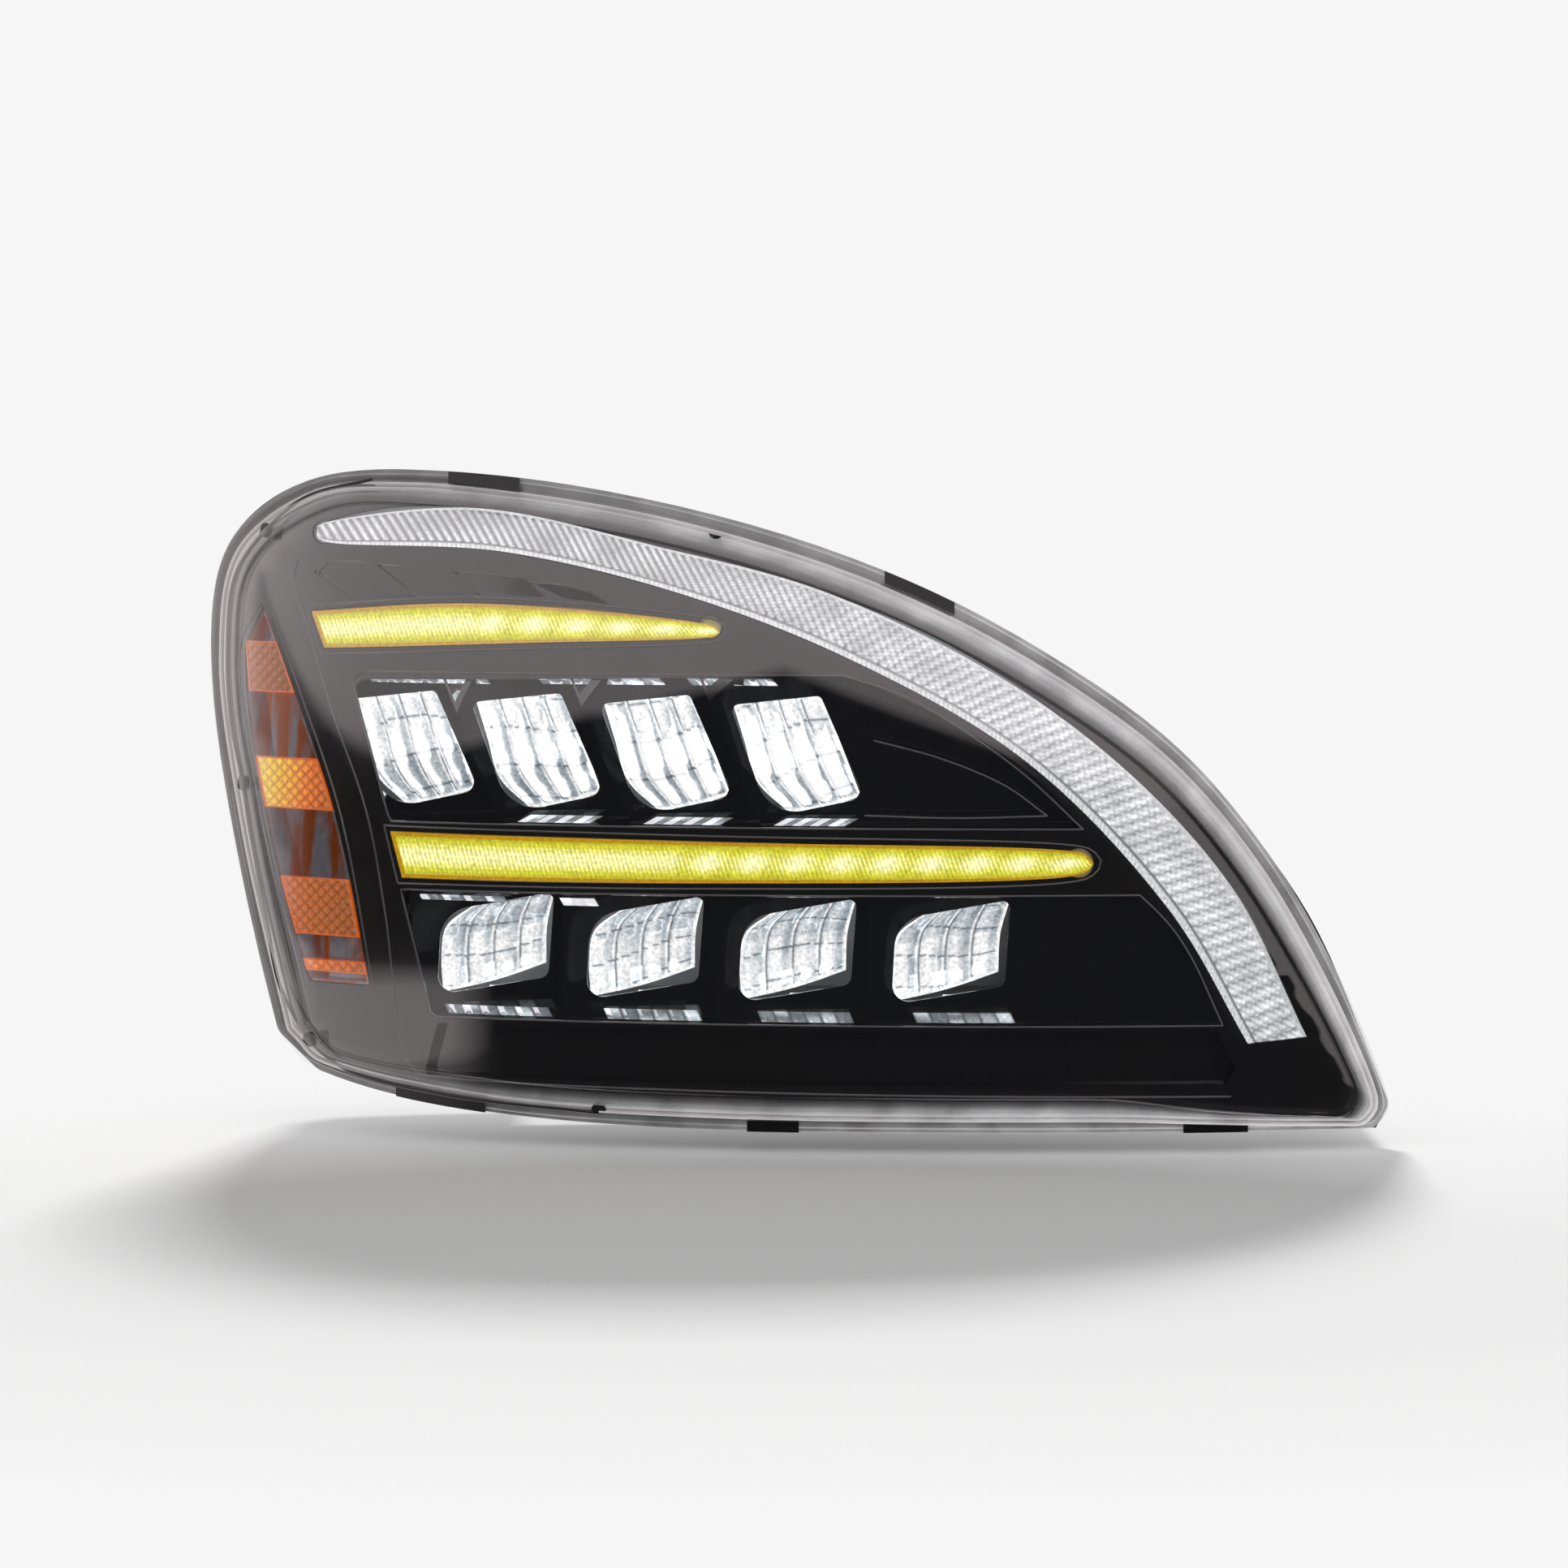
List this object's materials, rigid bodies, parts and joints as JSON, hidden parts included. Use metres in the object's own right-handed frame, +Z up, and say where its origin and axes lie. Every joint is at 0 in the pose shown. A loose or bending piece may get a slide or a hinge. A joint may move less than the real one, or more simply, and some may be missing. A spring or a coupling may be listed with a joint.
{
  "type": "truck headlight assembly",
  "caption": "Right-hand LED truck headlight with crescent daytime light, amber strips, side marker and two rows of tilting beam reflectors in a sealed housing.",
  "frame": {"origin": "centre of the four strap mounting holes, in the mounting plane behind the lamp", "axes": "+X towards the inboard side of the lamp, +Y out of the back through the mounting plane, +Z up; the lens faces -Y"},
  "size_m": [0.8214, 0.3599, 0.4467],
  "materials": {
    "housing_black": "satin",
    "clear_lens": "gloss",
    "sealant": "matte",
    "clip_black": "satin",
    "bezel_black": "gloss",
    "drl_clear": "gloss",
    "white_tray": "satin",
    "circuit": "satin",
    "amber_lens": "gloss",
    "chrome": "polished",
    "emitter": "satin",
    "die_cast": "cast",
    "fin_aluminium": "satin",
    "bush": "satin",
    "zinc_steel": "zinc plated",
    "strap_steel": "e-coat",
    "brass_nut": "machined",
    "grey_plastic": "satin",
    "cap_black": "satin",
    "seal_rubber": "matte",
    "contact": "tinned"
  },
  "bodies": {
    "lamp": {"outer_lens": "clear_lens", "lens_bosses": "clip_black", "lens_sealant": "sealant", "lens_clips": "clip_black", "rear_housing": "housing_black", "bezel": "bezel_black", "low_bowl": "bezel_black", "high_bowl": "bezel_black", "drl_lens": "drl_clear", "drl_tray": "white_tray", "drl_board": "circuit", "upper_turn_lens": "amber_lens", "upper_turn_tray": "white_tray", "upper_turn_board": "circuit", "middle_turn_lens": "amber_lens", "middle_turn_tray": "white_tray", "middle_turn_board": "circuit", "side_marker_lens": "amber_lens", "side_marker_reflector": "chrome", "side_marker_board": "circuit", "low_pivot_brackets": "zinc_steel", "high_pivot_brackets": "zinc_steel", "aim_collars": "grey_plastic", "upper_strap": "strap_steel", "lower_strap": "strap_steel", "strap_screws": "zinc_steel", "breather_vents": "cap_black", "connector_header": "grey_plastic", "connector_pins": "contact", "driver_case": "die_cast", "driver_screws": "zinc_steel"},
    "low_beam": {"low_carrier": "die_cast", "low_heat_sink": "fin_aluminium", "low_led_boards": "circuit", "low_led_emitters": "emitter", "low_led_holders": "drl_clear", "low_pivot_bushes": "bush", "low_reflector_1": "chrome", "low_reflector_2": "chrome", "low_reflector_3": "chrome", "low_reflector_4": "chrome"},
    "low_screw": {"low_aim_screw": "grey_plastic"},
    "low_nut": {"low_aim_nut": "brass_nut"},
    "high_beam": {"high_carrier": "die_cast", "high_heat_sink": "fin_aluminium", "high_led_boards": "circuit", "high_led_emitters": "emitter", "high_led_holders": "drl_clear", "high_pivot_bushes": "bush", "high_reflector_1": "chrome", "high_reflector_2": "chrome", "high_reflector_3": "chrome", "high_reflector_4": "chrome"},
    "high_screw": {"high_aim_screw": "grey_plastic"},
    "high_nut": {"high_aim_nut": "brass_nut"},
    "outer_cap": {"outer_service_cap": "cap_black", "outer_cap_seal": "seal_rubber"},
    "inner_cap": {"inner_service_cap": "cap_black", "inner_cap_seal": "seal_rubber"}
  },
  "joints": [
    {"name": "low_beam_tilt", "type": "hinge", "parent": "lamp", "child": "low_beam", "pos_m": [0, -0.185, 0.03], "axis": [1, 0, 0], "range_deg": [-2.5, 2.5]},
    {"name": "low_aim_turn", "type": "hinge", "parent": "lamp", "child": "low_screw", "pos_m": [-0.005, -0.1, -0.03], "axis": [0, 1, 0], "range_deg": [-480, 480]},
    {"name": "low_nut_turn", "type": "hinge", "parent": "low_beam", "child": "low_nut", "pos_m": [-0.005, -0.185, -0.03], "axis": [1, 0, 0], "range_deg": [-2.6, 2.6]},
    {"name": "high_beam_tilt", "type": "hinge", "parent": "lamp", "child": "high_beam", "pos_m": [0, -0.185, -0.101], "axis": [1, 0, 0], "range_deg": [-2.5, 2.5]},
    {"name": "high_aim_turn", "type": "hinge", "parent": "lamp", "child": "high_screw", "pos_m": [-0.005, -0.1, -0.161], "axis": [0, 1, 0], "range_deg": [-480, 480]},
    {"name": "high_nut_turn", "type": "hinge", "parent": "high_beam", "child": "high_nut", "pos_m": [-0.005, -0.185, -0.161], "axis": [1, 0, 0], "range_deg": [-2.6, 2.6]},
    {"name": "outer_cap_twist", "type": "hinge", "parent": "lamp", "child": "outer_cap", "pos_m": [-0.09, -0.1, 0], "axis": [0, 1, 0], "range_deg": [0, 45]},
    {"name": "inner_cap_twist", "type": "hinge", "parent": "lamp", "child": "inner_cap", "pos_m": [0.15, -0.1, 0], "axis": [0, 1, 0], "range_deg": [0, 45]}
  ],
  "couplings": [
    {"joint": "low_aim_turn", "follows": "low_beam_tilt", "ratio": -188.5},
    {"joint": "low_nut_turn", "follows": "low_beam_tilt", "ratio": -1},
    {"joint": "high_aim_turn", "follows": "high_beam_tilt", "ratio": -188.5},
    {"joint": "high_nut_turn", "follows": "high_beam_tilt", "ratio": -1}
  ]
}
